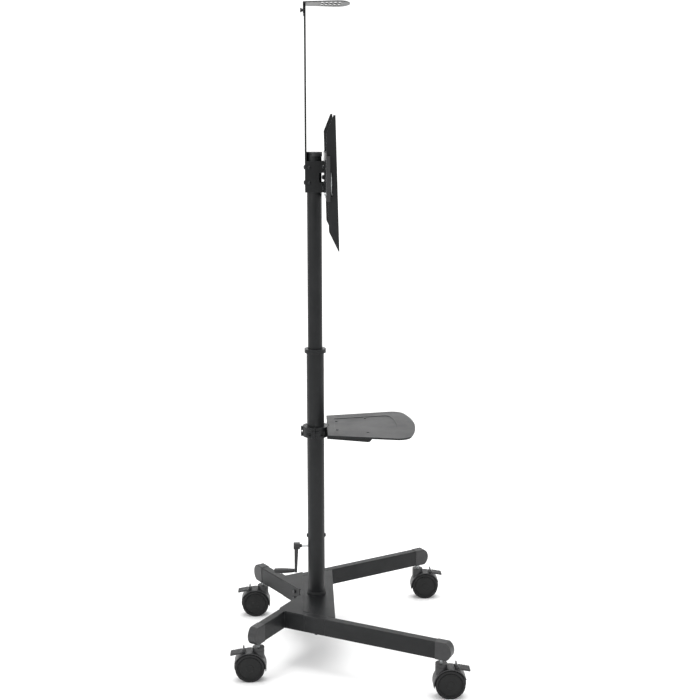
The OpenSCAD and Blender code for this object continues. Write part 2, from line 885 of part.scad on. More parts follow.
module head_saddle() color("dimgray") {
  difference() {
    union() {
      // two cheeks beside the tube and a web across their front
      translate([-strap_rear, -saddle_out, saddle_z]) difference() {
        cube([strap_rear + cheek_end, 2 * saddle_out, saddle_h]);
        translate([-over, bracket_t - run_gap, -over])
          cube([strap_rear + cheek_end - bracket_t + over,
            2 * (saddle_out - bracket_t + run_gap), saddle_h + 2 * over]);
      }
      // tabs folded out onto the rail
      pair() translate([cheek_end - bracket_t, saddle_out - over, saddle_z])
        cube([bracket_t, tab_w + over, saddle_h]);
    }
    // see-through window in both cheeks, behind the web
    translate([window_x, -2 * saddle_out, rail_mid - window_low])
      cube([cheek_end - bracket_t - window_x, 4 * saddle_out, window_low + window_up]);
    for (z = strap_bolt_heights)
      translate([set_screw_x, -2 * saddle_out, z]) rotate([-90, 0, 0])
        cylinder(r = m8_r, h = 4 * saddle_out);
    translate([rail_x, 0, rail_mid - window_up]) rotate([0, 90, 0])
      cylinder(r = m8_hole_r, h = 4 * bracket_t, center = true);
    at_tab_bolts() cylinder(r = m8_hole_r, h = 4 * bracket_t, center = true);
  }
}

// four bolts through the tabs and one in the window's middle, z pointing back
module at_tab_bolts() {
  for (s = [-1, 1], z = [saddle_up + window_up, -(saddle_low + window_low)])
    translate([rail_x, s * (saddle_out + tab_bolt), rail_mid + z / 2])
      rotate([0, -90, 0]) children();
}

module head_screws() color("silver") {
  // two screws through the strap into the tube
  for (z = strap_bolt_heights)
    translate([-strap_rear, 0, z]) rotate([0, 90, 0]) {
      translate([0, 0, -m8_button_h])
        cylinder(r1 = m8_button_r - over, r2 = m8_button_r, h = m8_button_h);
      cylinder(r = m8_r, h = strap_t + run_gap + mast_wall + m8_nut);
    }
  // set screws in the cheeks, pressing on the tube
  for (z = strap_bolt_heights) pair()
    translate([set_screw_x, saddle_out, z]) rotate([90, 0, 0]) {
      translate([0, 0, -m8_button_h])
        cylinder(r1 = m8_button_r - over, r2 = m8_button_r, h = m8_button_h);
      cylinder(r = m8_r, h = saddle_out - run_gap
        - sqrt(pow(mast_d / 2, 2) - pow(set_screw_x + m8_r, 2)));
    }
}

module head_rail() color("dimgray") {
  difference() {
    translate([rail_x, -rail_half, rail_low]) {
      cube([bracket_t, 2 * rail_half, rail_h]);
      cube([rail_depth, 2 * rail_half, bracket_t]);
      translate([0, 0, rail_h - bracket_t]) cube([rail_depth, 2 * rail_half, bracket_t]);
    }
    // lightening slots and the arms' lock slots
    pair() translate([rail_x + bracket_t / 2, 0, 0]) rotate([90, 0, 90]) {
      translate([(rail_slot_in + rail_slot_out) / 2, rail_mid + rail_slot_h / 2, -bracket_t])
        linear_extrude(2 * bracket_t) slot2d(rail_slot_out - rail_slot_in, rail_slot_h);
      translate([(lock_slot_in + rail_half - lock_slot_out) / 2, rail_mid - lock_drop,
        -bracket_t])
        linear_extrude(2 * bracket_t)
          slot2d(rail_half - lock_slot_out - lock_slot_in, 2 * lock_r + 2 * slide_gap);
    }
    at_tab_bolts() cylinder(r = m8_hole_r, h = 4 * bracket_t, center = true);
    translate([rail_x, 0, rail_mid - window_up]) rotate([0, 90, 0])
      cylinder(r = m8_hole_r, h = 4 * bracket_t, center = true);
  }
}

module rail_caps() color("black") pair()
  translate([rail_x, rail_half, rail_low]) {
    cube([rail_depth, bracket_t, rail_h]);
    translate([bracket_t, -2 * bracket_t, bracket_t])
      cube([rail_depth - bracket_t, 2 * bracket_t, rail_h - 2 * bracket_t]);
  }

module rail_bolt(grip) {
  translate([0, 0, -bracket_t - m8_head]) hex(m8_hex, m8_head);
  translate([0, 0, -bracket_t]) cylinder(r = m8_r, h = bracket_t + grip + m8_nut + over);
  translate([0, 0, grip]) hex(m8_hex, m8_nut);
}

module rail_bolts() color("silver") {
  at_tab_bolts() rail_bolt(bracket_t);
  translate([rail_x, 0, rail_mid - window_up]) rotate([0, -90, 0]) rail_bolt(bracket_t);
}

// ---------- screen arms ----------

module lean() {
  translate([arm_front, 0, rail_mid + arm_pivot_up]) rotate([0, -arm_lean, 0]) children();
}

// side profile of an arm: y is the height, x runs back from the front face
module arm_profile() {
  foot = arm_len - arm_above;
  polygon([[0, -foot], [0, arm_above],
    [-arm_tip_depth, arm_above],
    [-arm_depth, arm_above - arm_tip_taper],
    [-arm_depth, -foot + arm_foot_taper],
    [-arm_t, -foot]]);
}

module arm() {
  foot = arm_len - arm_above;
  difference() {
    lean() difference() {
      translate([0, arm_w / 2, 0]) rotate([90, 0, 0]) linear_extrude(arm_w) arm_profile();
      // hollow of the channel
      translate([-2 * arm_depth - arm_t, -arm_w / 2 + arm_t, -arm_len])
        cube([2 * arm_depth, arm_w - 2 * arm_t, 2 * arm_len]);
    }
    // notch that sits over the rail
    translate([rail_x - slide_gap, -arm_w, rail_low - slide_gap])
      cube([rail_depth + 2 * slide_gap, 2 * arm_w, rail_h + slide_gap + run_gap]);
    // relief that leaves a gap in front of the rail's lower half
    translate([rail_x, -arm_w, rail_mid - relief_low])
      cube([rail_depth + arm_relief, 2 * arm_w, relief_low + relief_up]);
    lean() screen_holes();
  }
  // bridge that takes the lock screw
  translate([rail_x + rail_depth + slide_gap, -arm_w / 2 + arm_t / 2,
    rail_mid - lock_drop - lock_bridge]) difference() {
      cube([arm_t, arm_w - arm_t, lock_bridge + 2 * lock_head_r]);
      translate([-over, arm_w / 2 - arm_t / 2, lock_bridge]) rotate([0, 90, 0])
        cylinder(r = lock_r + air_gap, h = arm_t + 2 * over);
    }
}

// round holes at the outer fixing points, slots between them
module screen_holes() {
  for (i = [-4:4]) translate([-2 * arm_t, 0, -screen_drop - arm_pivot_up + i * screen_pitch])
    if (abs(i) == 4) rotate([0, 90, 0]) cylinder(r = screen_hole_r, h = 4 * arm_t);
    else rotate([90, 0, 90]) linear_extrude(4 * arm_t)
      rotate(90) slot2d(screen_slot, screen_slot_w);
}

module arm_lock() {
  front = rail_x + rail_depth + slide_gap + arm_t;
  translate([front, 0, rail_mid - lock_drop]) rotate([0, -90, 0]) {
    translate([0, 0, -2 * lock_r]) cylinder(r = lock_head_r, h = 2 * lock_r);
    cylinder(r = lock_r, h = front - rail_x + lock_tail);
    translate([0, 0, front - rail_x + air_gap]) hex(3.4 * lock_r, 1.6 * lock_r);
  }
}

module arm_left() color("dimgray") translate([0, arm_side, 0]) arm();
module arm_right() color("dimgray") translate([0, -arm_side, 0]) arm();
module arm_lock_left() color("silver") translate([0, arm_side, 0]) arm_lock();
module arm_lock_right() color("silver") translate([0, -arm_side, 0]) arm_lock();

// ---------- camera strap and tray ----------

strap_x = -strap_rear;
strap_top = tray_under - air_gap;

module camera_strap() color("dimgray") {
  low = rail_mid - strap_foot;
  difference() {
    translate([strap_x, -strap_w / 2, low]) cube([strap_t, strap_w, strap_top - low]);
    for (z = strap_bolt_heights) translate([strap_x - over, 0, z]) rotate([0, 90, 0])
      cylinder(r = m8_hole_r, h = strap_t + 2 * over);
    translate([strap_x - over, 0, tray_under - knob_drop]) rotate([0, 90, 0])
      cylinder(r = lock_r, h = strap_t + 2 * over);
  }
}

module camera_tray() color("gray") {
  rear = strap_x - tray_t;
  difference() {
    union() {
      translate([0, 0, tray_under]) linear_extrude(tray_t)
        tray_shape(rear, tray_rear_half, tray_flare, tray_reach, tray_front_r,
          tray_corner_r);
      translate([rear, -tray_rear_half, tray_under + tray_t - tray_flange_h])
        cube([tray_t, 2 * tray_rear_half, tray_flange_h]);
    }
    for (i = [0:4]) pair()
      translate([tray_slot_first + i * tray_slot_pitch, tray_slot_row, tray_under - over])
        linear_extrude(tray_t + 2 * over) rotate(90) slot2d(tray_slot_len, tray_slot_w);
    translate([rear - over, 0, tray_under - knob_drop]) rotate([0, 90, 0])
      cylinder(r = lock_r + air_gap, h = tray_t + 2 * over);
  }
}

module tray_knob() color("black") {
  translate([strap_x - tray_t - run_gap, 0, tray_under - knob_drop]) rotate([0, -90, 0])
    difference() {
      union() {
        cylinder(r = knob_r * 0.6, h = knob_len);
        translate([0, 0, knob_len * 0.4]) cylinder(r = knob_r, h = knob_len * 0.6);
        translate([0, 0, -tray_t - strap_t])
          cylinder(r = lock_r - run_gap, h = tray_t + strap_t + over);
      }
      for (i = [0:7]) rotate(i * 45) translate([knob_r + over, 0, knob_len * 0.3])
        cylinder(r = 2 * over, h = knob_len);
    }
}

// ---------- shelf ----------

clamp_low = shelf_top - clamp_h;

// one half of the clamp ring, on the +X side
module clamp_half() {
  difference() {
    intersection() {
      union() {
        translate([0, 0, clamp_low]) cylinder(d = clamp_d, h = clamp_h);
        pair() translate([-clamp_flat_half, 0, clamp_low])
          cube([2 * clamp_flat_half, clamp_flat_r, clamp_flat_h]);
      }
      translate([clamp_split / 2, -clamp_d, clamp_low - over])
        cube([clamp_d, 2 * clamp_d, clamp_h + 2 * over]);
    }
    translate([0, 0, clamp_low - over])
      cylinder(d = tube_d + 2 * run_gap, h = clamp_h + 2 * over);
    pair() translate([0, clamp_bolt_y, clamp_low + clamp_flat_h / 2]) rotate([0, 90, 0]) {
      cylinder(r = clamp_bolt_r, h = clamp_d);
      translate([0, 0, clamp_flat_half - clamp_head_h + over / 2])
        cylinder(r = clamp_head_r + air_gap, h = clamp_d);
    }
  }
}

module clamp_front() color("dimgray") {
  difference() {
    union() {
      clamp_half();
      // root plate and two splayed props under the shelf
      difference() {
        translate([root_x - root_t, -root_half, clamp_low])
          cube([root_t, 2 * root_half, clamp_h - shelf_sheet]);
        translate([0, 0, clamp_low - over])
          cylinder(d = clamp_d - over, h = clamp_h + 2 * over);
        pair() translate([0, clamp_bolt_y, clamp_low + clamp_flat_h / 2])
          rotate([0, 90, 0]) cylinder(r = clamp_head_r + air_gap, h = clamp_d);
      }
      pair() prop();
    }
    pair() shelf_screw_places() translate([0, 0, -shelf_lip])
      cylinder(r = tray_screw_r, h = 2 * shelf_lip);
  }
}

prop_run = norm([prop_end_x - root_x, prop_end_y - root_half]);
prop_angle = atan2(prop_end_y - root_half, prop_end_x - root_x);
prop_h = clamp_h - shelf_sheet;

module prop() {
  translate([root_x - root_t, root_half, clamp_low]) rotate(prop_angle)
    translate([0, -prop_t, 0]) {
      translate([0, prop_t, 0]) rotate([90, 0, 0]) linear_extrude(prop_t) difference() {
        union() {
          translate([0, prop_round]) square([prop_run + root_t, prop_h - prop_round]);
          square([prop_run + root_t - prop_round, prop_round]);
          translate([prop_run + root_t - prop_round, prop_round]) circle(prop_round);
        }
      }
      // folded flange that takes the shelf's screws
      for (x = [prop_screw_rear, prop_run - prop_pad_r])
        translate([x, prop_t / 2, prop_h - prop_t]) cylinder(r = prop_pad_r, h = prop_t);
    }
}

module shelf_screw_places() {
  translate([root_x - root_t, root_half, shelf_top - shelf_sheet]) rotate(prop_angle)
    translate([0, -prop_t / 2, 0])
      for (x = [prop_screw_rear, prop_run - prop_pad_r])
        translate([x, 0, 0]) children();
}

module clamp_rear() color("dimgray") {
  mirror([1, 0, 0]) clamp_half();
  // loop for a cable tie at the back
  difference() {
    translate([-lug_out, -lug_w / 2, clamp_low])
      cube([lug_out - clamp_d / 2 + over, lug_w, lug_h]);
    translate([0, 0, clamp_low - over]) cylinder(d = clamp_d, h = clamp_h + 2 * over);
    translate([-clamp_d / 2 - lug_slot_h / 2, -lug_w, clamp_low + lug_h / 2
      - lug_slot_h / 2]) cube([lug_slot_h / 2 - over / 2, 2 * lug_w, lug_slot_h]);
  }
}

module clamp_bolts() color("silver") pair()
  translate([0, clamp_bolt_y, clamp_low + clamp_flat_h / 2]) rotate([0, 90, 0]) {
    reach = clamp_flat_half - clamp_head_h + over / 2;
    translate([0, 0, -reach]) cylinder(r = clamp_bolt_r - run_gap, h = 2 * reach);
    translate([0, 0, reach]) cylinder(r = clamp_head_r, h = clamp_head_h);
    translate([0, 0, -reach - clamp_head_h]) hex(clamp_head_r * 1.7, clamp_head_h);
  }

module shelf_tray() color("gray") {
  under = shelf_top - shelf_sheet;
  difference() {
    translate([0, 0, shelf_top - shelf_lip]) linear_extrude(shelf_lip)
      tray_shape(shelf_rear, shelf_rear_half, shelf_flare, shelf_reach,
        shelf_front_r, shelf_corner_r);
    // space inside the lip, open at the rear edge
    translate([0, 0, shelf_top - shelf_lip - over])
      linear_extrude(shelf_lip - shelf_sheet + over)
        tray_shape(shelf_rear - over, shelf_rear_half - shelf_sheet, shelf_flare,
          shelf_reach - shelf_sheet, shelf_front_r - shelf_sheet,
          shelf_corner_r - shelf_sheet);
    // shallow pressed panel
    translate([0, 0, shelf_top - shelf_dish]) linear_extrude(shelf_dish + over)
      tray_shape(dish_rear, dish_rear_half, shelf_flare, dish_reach, dish_front_r,
        dish_corner_r);
    // hollow round the clamp ring
    translate([0, 0, shelf_top - shelf_lip - over])
      cylinder(r = clamp_d / 2 + shelf_notch_gap, h = shelf_lip + 2 * over);
    pair() shelf_screw_places() translate([0, 0, -over])
      cylinder(r = tray_screw_r + air_gap, h = shelf_sheet + 2 * over);
  }
}

module shelf_screws() color("silver") pair() shelf_screw_places() {
  translate([0, 0, -shelf_lip + over])
    cylinder(r = tray_screw_r, h = shelf_lip - over + shelf_sheet - shelf_dish);
  translate([0, 0, shelf_sheet - shelf_dish]) cylinder(r1 = tray_screw_head_r,
    r2 = tray_screw_head_r - over, h = tray_screw_head);
}

// ---------- casters: swivel axis at the origin, wheels trailing along +X ----------

wheel_r = wheel_d / 2;
wheel_w = (caster_w - hood_inner_w) / 2 - slide_gap;

module caster_wheel_pair() {
  translate([trail, 0, wheel_r]) {
    pair() translate([0, hood_inner_w / 2 + slide_gap, 0]) rotate([-90, 0, 0])
      rotate_extrude() polygon([
        [axle_r, 0],
        [wheel_r - wheel_tyre, 0],
        [wheel_r - over, 0],
        [wheel_r, over],
        [wheel_r, wheel_w - 2 * over],
        [wheel_r - over, wheel_w - over],
        [wheel_r - wheel_tyre + over, wheel_w],
        [hubcap_r, wheel_w],
        [hubcap_r - over, wheel_w - wheel_dish],
        [hubcap_r - 3 * over, wheel_w - wheel_dish],
        [hubcap_r - 5 * over, wheel_w - wheel_dish + over],
        [0, wheel_w - wheel_dish + over],
        [0, 0]]);
    rotate([90, 0, 0]) cylinder(r = axle_r, h = hood_inner_w + 4 * slide_gap,
      center = true);
  }
}

// moulded hood: inner web, fender over both wheels, boss round the stem
module caster_hood() {
  r_in = wheel_r + hood_gap;
  r_out = r_in + hood_wall;
  difference() {
    union() {
      difference() {
        union() {
          // fender: it ends high on the pedal's side and low behind the stem
          intersection() {
            translate([trail, 0, wheel_r]) rotate([90, 0, 0])
              cylinder(r = r_out, h = caster_w, center = true);
            union() {
              translate([trail - over, -caster_w,
                wheel_r + r_out * sin(hood_tail_angle)])
                cube([wheel_d, 2 * caster_w, wheel_d]);
              translate([trail - wheel_d, -caster_w, wheel_r - hood_drop])
                cube([wheel_d, 2 * caster_w, 2 * wheel_d]);
            }
          }
          translate([0, 0, wheel_r]) cylinder(r = hood_boss_r, h = hood_boss_top - wheel_r);
        }
        // wheel spaces
        pair() translate([trail, hood_inner_w / 2, wheel_r]) rotate([-90, 0, 0])
          cylinder(r = r_in, h = caster_w);
      }
      // web between the wheels
      intersection() {
        translate([trail, 0, wheel_r]) rotate([90, 0, 0]) cylinder(r = r_in + over,
          h = hood_inner_w, center = true);
        translate([trail - wheel_d, -caster_w, wheel_r - 2.5 * axle_r])
          cube([2 * wheel_d, 2 * caster_w, wheel_d]);
      }
    }
    // running bore of the axle, stem socket, groove under the swivel head
    translate([trail, 0, wheel_r]) rotate([90, 0, 0])
      cylinder(r = axle_r + run_gap, h = caster_w, center = true);
    translate([0, 0, stem_base - air_gap]) cylinder(r = stem_r + run_gap,
      h = hood_boss_r + over);
    translate([0, 0, boss_groove_z]) difference() {
      cylinder(r = hood_boss_r + over, h = boss_groove);
      translate([0, 0, -over]) cylinder(r = hood_boss_r - boss_groove,
        h = boss_groove + 2 * over);
    }
    pedal_space();
  }
  pedal_ears();
}

pedal_x = trail + pedal_out;

module at_pedal_pin() {
  translate([pedal_x, 0, pedal_z]) rotate([90, 0, 0]) children();
}

// room for the pedal's knuckle in the fender
module pedal_space() {
  at_pedal_pin() cylinder(r = pedal_knuckle_r + slide_gap,
    h = 2 * pedal_knuckle_half + 2 * air_gap, center = true);
}

// two ears on the fender with the pedal's pin between them
module pedal_ears() {
  at_pedal_pin() for (s = [-1, 1])
    translate([0, 0, s * (pedal_knuckle_half + air_gap + pedal_ear / 2)])
      cylinder(r = pedal_knuckle_r + slide_gap, h = pedal_ear, center = true);
  at_pedal_pin() cylinder(r = pedal_pin_r,
    h = 2 * pedal_knuckle_half + 2 * air_gap + pedal_ear, center = true);
}

// brake pedal: knuckle on its pin, ribbed tread and upright fin
module caster_pedal() {
  tread_x = pedal_knuckle_r + slide_gap + over;
  translate([pedal_x, 0, pedal_z]) rotate([0, pedal_tilt, 0])
    translate([-pedal_x, 0, -pedal_z]) difference() {
    union() {
      at_pedal_pin() cylinder(r = pedal_knuckle_r, h = 2 * pedal_knuckle_half,
        center = true);
      translate([pedal_x, -pedal_knuckle_half, pedal_z - pedal_t / 2])
        cube([pedal_len, 2 * pedal_knuckle_half, pedal_t]);
      translate([pedal_x + tread_x, -pedal_w / 2, pedal_z - pedal_t / 2])
        cube([pedal_len - tread_x, pedal_w, pedal_t]);
      for (i = [1:pedal_ribs]) translate([pedal_x + tread_x
        + i * (pedal_len - tread_x) / (pedal_ribs + 1), -pedal_w / 2, pedal_z
        + pedal_t / 2 - over]) cube([pedal_rib, pedal_w, pedal_rib + over]);
      // upright fin, narrow between the ears and wide above them
      translate([pedal_x, 0, pedal_z]) rotate([90, 0, 0])
        linear_extrude(2 * pedal_knuckle_half, center = true) pedal_fin();
      intersection() {
        translate([pedal_x, 0, pedal_z]) rotate([90, 0, 0])
          linear_extrude(pedal_w, center = true) pedal_fin();
        translate([pedal_x - wheel_r, -pedal_w, pedal_z + tread_x])
          cube([wheel_d, 2 * pedal_w, fin_h]);
      }
    }
    at_pedal_pin() cylinder(r = pedal_pin_r + run_gap, h = pedal_w, center = true);
  }
}

module pedal_fin() polygon([[-pedal_knuckle_r, 0], [-fin_t, fin_h - over],
  [-fin_t / 2, fin_h], [0, fin_h - over], [pedal_knuckle_r, 0]]);

module front_left() translate([front_reach, front_half_track, 0]) children();
module front_right() translate([front_reach, -front_half_track, 0]) children();
module rear_left() translate([-rear_reach, rear_half_track, 0]) rotate(180) children();
module rear_right() translate([-rear_reach, -rear_half_track, 0]) rotate(180) children();

module hood_front_left() color("#303030") front_left() caster_hood();
module hood_front_right() color("#303030") front_right() caster_hood();
module hood_rear_left() color("#303030") rear_left() caster_hood();
module hood_rear_right() color("#303030") rear_right() caster_hood();
module wheels_front_left() color("#505050") front_left() caster_wheel_pair();
module wheels_front_right() color("#505050") front_right() caster_wheel_pair();
module wheels_rear_left() color("#505050") rear_left() caster_wheel_pair();
module wheels_rear_right() color("#505050") rear_right() caster_wheel_pair();
module pedal_front_left() color("#808080") front_left() caster_pedal();
module pedal_front_right() color("#808080") front_right() caster_pedal();
module pedal_rear_left() color("#808080") rear_left() caster_pedal();
module pedal_rear_right() color("#808080") rear_right() caster_pedal();

base_frame();
rear_gusset();
leg_spigots();
front_leg_left();
front_leg_right();
rear_leg_left();
rear_leg_right();
leg_caps();
base_bolts();
caster_stems();
column_foot();
column_bolt();
column_tube();
collar();
guide_bush();
gear_housing();
gear_bolts();
thrust_washer();
lead_screw();
screw_gear();
crank_shaft();
crank_gear();
crank_arm();
grip_pin();
crank_grip();
mast_tube();
mast_cap();
lift_nut();
slide_ring();
head_saddle();
head_screws();
head_rail();
rail_caps();
rail_bolts();
camera_strap();
camera_tray();
tray_knob();
arm_left();
arm_right();
arm_lock_left();
arm_lock_right();
clamp_front();
clamp_rear();
clamp_bolts();
shelf_tray();
shelf_screws();
hood_front_left();
hood_front_right();
hood_rear_left();
hood_rear_right();
wheels_front_left();
wheels_front_right();
wheels_rear_left();
wheels_rear_right();
pedal_front_left();
pedal_front_right();
pedal_rear_left();
pedal_rear_right();
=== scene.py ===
import json
import math

import bmesh
import bpy
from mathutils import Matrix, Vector


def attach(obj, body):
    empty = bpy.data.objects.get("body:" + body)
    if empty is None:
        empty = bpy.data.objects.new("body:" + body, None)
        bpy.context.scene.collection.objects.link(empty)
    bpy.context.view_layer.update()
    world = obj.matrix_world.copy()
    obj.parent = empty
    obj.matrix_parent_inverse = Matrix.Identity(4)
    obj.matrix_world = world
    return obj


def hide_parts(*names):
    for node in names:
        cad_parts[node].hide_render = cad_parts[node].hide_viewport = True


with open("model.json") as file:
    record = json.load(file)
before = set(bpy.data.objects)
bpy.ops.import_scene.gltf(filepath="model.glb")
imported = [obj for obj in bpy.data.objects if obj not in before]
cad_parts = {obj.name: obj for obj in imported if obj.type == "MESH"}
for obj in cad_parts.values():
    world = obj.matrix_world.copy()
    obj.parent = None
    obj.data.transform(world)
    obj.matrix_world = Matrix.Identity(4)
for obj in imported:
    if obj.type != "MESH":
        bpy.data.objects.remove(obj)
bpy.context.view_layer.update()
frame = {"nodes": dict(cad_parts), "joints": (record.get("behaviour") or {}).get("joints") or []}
nodes = frame["nodes"]

# Camera, at the photograph's angle: square to the cart's side, a little
# higher than the screen rail, and looking 11 degrees down at the legs.
camera = bpy.data.objects.new("camera", bpy.data.cameras.new("camera"))
bpy.context.collection.objects.link(camera)
bpy.context.scene.camera = camera
pitch, yaw = math.radians(11.37), math.radians(2.29)
focal_px, photo_px, sensor_mm = 1236.4, 700.0, 36.0
look = Vector((math.sin(yaw) * math.cos(pitch), math.cos(yaw) * math.cos(pitch),
               -math.sin(pitch)))
camera.location = (-0.0470, -4.1706, 1.9203)
camera.rotation_euler = look.to_track_quat("-Z", "Y").to_euler()
camera.data.sensor_width = sensor_mm
camera.data.lens = focal_px * sensor_mm / photo_px
camera.data.clip_end = 100.0


# Studio: a roll of white paper that sweeps from the floor up behind the cart,
# in a bright room with a soft panel overhead and a weaker one from the side.
def linear(code):
    """Linear RGBA of an sRGB hex code."""
    channels = [int(code[i:i + 2], 16) / 255 for i in (1, 3, 5)]
    return tuple(c / 12.92 if c <= 0.04045 else ((c + 0.055) / 1.055) ** 2.4
                 for c in channels) + (1.0,)


def add(tree, kind, settings=None, links=None):
    """Adds one node: settings go to its sockets or attributes, links feed its inputs."""
    node = tree.nodes.new(kind)
    for key, value in (settings or {}).items():
        if isinstance(key, int) or key in node.inputs:
            node.inputs[key].default_value = value
        else:
            setattr(node, key, value)
    for key, source in (links or {}).items():
        tree.links.new(source, node.inputs[key])
    return node


def new_material(name):
    material = bpy.data.materials.new(name)
    material.use_nodes = True
    material.node_tree.nodes.clear()
    return material, material.node_tree


def close_material(tree, settings, links=None):
    """Ends a material with one principled surface."""
    surface = add(tree, "ShaderNodeBsdfPrincipled", settings, links)
    add(tree, "ShaderNodeOutputMaterial", links={"Surface": surface.outputs[0]})


paper, tree = new_material("white paper roll")
close_material(tree, {"Base Color": linear("#fafafa"), "Roughness": 0.9,
                      "Specular IOR Level": 0.1})
near_edge, bend_start, bend_radius, bend_steps = -7.0, 3.5, 1.5, 12
top_edge, half_width = 8.0, 9.0
sweep = [(near_edge, 0.0)]
for i in range(bend_steps + 1):
    turn = math.radians(90 * i / bend_steps)
    sweep.append((bend_start + bend_radius * math.sin(turn),
                  bend_radius - bend_radius * math.cos(turn)))
sweep.append((bend_start + bend_radius, top_edge))
corners = [(x, y, z) for y, z in sweep for x in (-half_width, half_width)]
quads = [(2 * i, 2 * i + 1, 2 * i + 3, 2 * i + 2) for i in range(len(sweep) - 1)]
mesh = bpy.data.meshes.new("paper_roll")
mesh.from_pydata(corners, [], quads)
mesh.polygons.foreach_set("use_smooth", [True] * len(quads))
mesh.materials.append(paper)
roll = bpy.data.objects.new("paper_roll", mesh)
bpy.context.collection.objects.link(roll)

world = bpy.data.worlds.new("room")
bpy.context.scene.world = world
world.use_nodes = True
world.node_tree.nodes["Background"].inputs["Color"].default_value = linear("#ffffff")
world.node_tree.nodes["Background"].inputs["Strength"].default_value = 1.0
bpy.context.scene.view_settings.view_transform = "Standard"
panels = (("overhead", (0.2, 0.6, 4.4), (0.1, 0.2, 0.0), (3.2, 3.2), 135),
          ("side", (-3.0, -2.6, 2.6), (0.0, 0.0, 1.0), (1.6, 2.4), 30))
for name, place, aim, (width, height), watts in panels:
    light = bpy.data.lights.new(name, "AREA")
    light.shape, light.size, light.size_y, light.energy = "RECTANGLE", width, height, watts
    panel = bpy.data.objects.new(name, light)
    bpy.context.collection.objects.link(panel)
    panel.location = place
    panel.rotation_euler = (Vector(aim) - Vector(place)).to_track_quat("-Z", "Y").to_euler()


# Base frame, rear cover and legs: folded 3 mm sheet and 60 by 30 mm tube under
# baked polyester powder. Its satin skin has orange peel of about 1 mm, drawn
# at 3 mm to show, thins to a paler line on edges, and has small dull rubs.
def noise(tree, feature, detail, roughness=0.5):
    """Noise on the piece's own coordinates, its features about as wide as given, in metres."""
    place = add(tree, "ShaderNodeTexCoord")
    return add(tree, "ShaderNodeTexNoise",
               {"Scale": 1 / feature, "Detail": detail, "Roughness": roughness},
               {"Vector": place.outputs["Object"]}).outputs["Fac"]


def blend(tree, value, first, last, start=0.0, end=1.0):
    """Colour that goes from the first to the last as the value goes from start to end."""
    ramp = add(tree, "ShaderNodeValToRGB", links={"Fac": value})
    stops = ramp.color_ramp.elements
    stops[0].position, stops[0].color = start, linear(first)
    stops[1].position, stops[1].color = end, linear(last)
    return ramp.outputs["Color"]


def span(tree, value, low, high, start=0.0, end=1.0):
    """The value's run from start to end, brought to low to high."""
    return add(tree, "ShaderNodeMapRange",
               {"From Min": start, "From Max": end, "To Min": low, "To Max": high},
               {"Value": value}).outputs["Result"]


def rounded(tree, radius):
    """Normals that turn softly round every edge."""
    return add(tree, "ShaderNodeBevel", {"samples": 4, "Radius": radius}).outputs["Normal"]


def skin_of(tree, height, strength, depth, normal=None):
    """Normals of a fine surface grain."""
    links = {"Height": height}
    if normal is not None:
        links["Normal"] = normal
    return add(tree, "ShaderNodeBump", {"Strength": strength, "Distance": depth},
               links).outputs["Normal"]


powder_coat, tree = new_material("powder coat on steel")
peel = noise(tree, 0.003, 2.0, 0.6)
rubs = noise(tree, 0.11, 5.0, 0.62)
coat_tone = blend(tree, rubs, "#18191a", "#222324", 0.35, 0.75)
edge = rounded(tree, 0.0011)
true_face = add(tree, "ShaderNodeNewGeometry")
turn_away = add(tree, "ShaderNodeVectorMath", {"operation": "DOT_PRODUCT"},
                {0: edge, 1: true_face.outputs["Normal"]})
thin = span(tree, turn_away.outputs["Value"], 0.0, 0.55, 0.995, 0.86)
tone = add(tree, "ShaderNodeMix", {"data_type": "RGBA", 7: linear("#56585a")},
           {0: thin, 6: coat_tone})
close_material(tree, {"Specular IOR Level": 0.22},
               {"Base Color": tone.outputs[2], "Roughness": span(tree, rubs, 0.3, 0.42, 0.3, 0.7),
                "Normal": skin_of(tree, peel, 0.1, 0.0004, edge)})


def finish_with(material, *names):
    for name in names:
        mesh = nodes[name].data
        mesh.materials.clear()
        mesh.materials.append(material)


finish_with(powder_coat, "base_frame", "rear_gusset", "front_leg_left", "front_leg_right",
            "rear_leg_left", "rear_leg_right")

# End caps of the legs: glass-filled nylon, moulded in a spark-eroded tool and
# pushed into the tubes. The tool leaves a matt grain of about 0.4 mm, drawn
# at 1.5 mm to show.
moulded, tree = new_material("moulded black nylon")
grain = noise(tree, 0.0015, 2.0)
scuff = noise(tree, 0.03, 6.0, 0.7)
close_material(tree, {"Specular IOR Level": 0.55, "IOR": 1.52},
               {"Base Color": blend(tree, scuff, "#18181a", "#272829", 0.4, 0.8),
                "Roughness": span(tree, scuff, 0.36, 0.52),
                "Normal": skin_of(tree, grain, 0.18, 0.0002, rounded(tree, 0.0009))})
finish_with(moulded, "leg_caps")

# Spigots and screws of the base: zinc plated inside, blackened where the eye
# sees them. Zinc is bright with a faint cloud from the bath, about 6 mm wide;
# black oxide is a thin oiled skin that lets the steel's gloss through.
zinc, tree = new_material("zinc plated steel")
cloud = noise(tree, 0.006, 4.0)
close_material(tree, {"Metallic": 1.0}, {"Base Color": blend(tree, cloud, "#9fa3a6", "#d2d4d3"),
                                         "Roughness": span(tree, cloud, 0.22, 0.42)})
black_oxide, tree = new_material("black oxide steel")
oil = noise(tree, 0.004, 3.0)
close_material(tree, {"Metallic": 0.35}, {"Base Color": blend(tree, oil, "#17181a", "#2c2d30"),
                                          "Roughness": span(tree, oil, 0.25, 0.4)})
finish_with(zinc, "leg_spigots", "column_bolt")
finish_with(black_oxide, "base_bolts")

